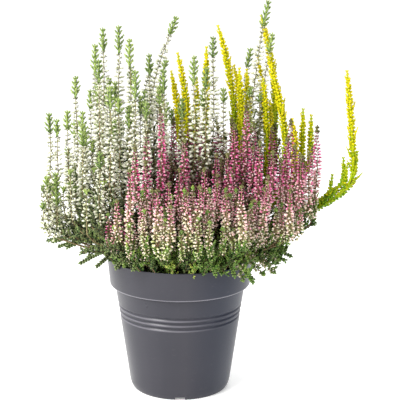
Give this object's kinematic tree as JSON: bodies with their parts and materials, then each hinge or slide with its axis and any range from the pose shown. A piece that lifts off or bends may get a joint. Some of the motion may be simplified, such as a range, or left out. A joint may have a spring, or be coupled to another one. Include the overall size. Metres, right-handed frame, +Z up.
{
  "type": "potted heather",
  "caption": "Bushy potted heather with upright white, pink and yellow-leaved spikes and a skirt of green shoots, growing from potting mix in a round tapered plastic nursery pot.",
  "frame": {"origin": "middle of the underside of the pot, on its centre pad, in the plane that the pot stands on", "axes": "+Z up, -Y to the front of the plant as the picture shows it, +X to the right of that view"},
  "size_m": [0.2838, 0.1894, 0.3421],
  "materials": {
    "anthracite_plastic": "satin moulded polypropylene, anthracite grey",
    "potting_mix": "moist dark peat and bark crumbs",
    "white_bloom": "soft petals, creamy white buds on olive stems",
    "pink_bloom": "soft petals, magenta to pale pink buds on tan stems",
    "yellow_leaf": "fine scale leaves, bright yellow to yellow-green",
    "green_leaf": "fine scale leaves, dark to mid green"
  },
  "bodies": {
    "root": {"pot": "anthracite_plastic", "potting_mix": "potting_mix", "white_spray_01": "white_bloom", "white_spray_02": "white_bloom", "white_spray_03": "white_bloom", "white_spray_04": "white_bloom", "white_spray_05": "white_bloom", "white_spray_06": "white_bloom", "white_spray_07": "white_bloom", "white_spray_08": "white_bloom", "white_spray_09": "white_bloom", "white_spray_10": "white_bloom", "white_spray_11": "white_bloom", "white_spray_12": "white_bloom", "white_spray_13": "white_bloom", "white_spray_14": "white_bloom", "white_spray_15": "white_bloom", "white_spray_16": "white_bloom", "white_spray_17": "white_bloom", "white_spray_18": "white_bloom", "white_spray_19": "white_bloom", "white_spray_20": "white_bloom", "white_spray_21": "white_bloom", "pink_spray_01": "pink_bloom", "pink_spray_02": "pink_bloom", "pink_spray_03": "pink_bloom", "pink_spray_04": "pink_bloom", "pink_spray_05": "pink_bloom", "pink_spray_06": "pink_bloom", "pink_spray_07": "pink_bloom", "pink_spray_08": "pink_bloom", "pink_spray_09": "pink_bloom", "pink_spray_10": "pink_bloom", "pink_spray_11": "pink_bloom", "pink_spray_12": "pink_bloom", "pink_spray_13": "pink_bloom", "pink_spray_14": "pink_bloom", "pink_spray_15": "pink_bloom", "pink_spray_16": "pink_bloom", "pink_spray_17": "pink_bloom", "yellow_spray_01": "yellow_leaf", "yellow_spray_02": "yellow_leaf", "yellow_spray_03": "yellow_leaf", "yellow_spray_04": "yellow_leaf", "yellow_spray_05": "yellow_leaf", "yellow_spray_06": "yellow_leaf", "yellow_spray_07": "yellow_leaf", "yellow_spray_08": "yellow_leaf", "yellow_spray_09": "yellow_leaf", "green_shoot_01": "green_leaf", "green_shoot_02": "green_leaf", "green_shoot_03": "green_leaf", "green_shoot_04": "green_leaf", "green_shoot_05": "green_leaf", "green_shoot_06": "green_leaf", "green_shoot_07": "green_leaf", "green_shoot_08": "green_leaf", "green_shoot_09": "green_leaf", "green_shoot_10": "green_leaf", "green_shoot_11": "green_leaf"}
  },
  "joints": []
}
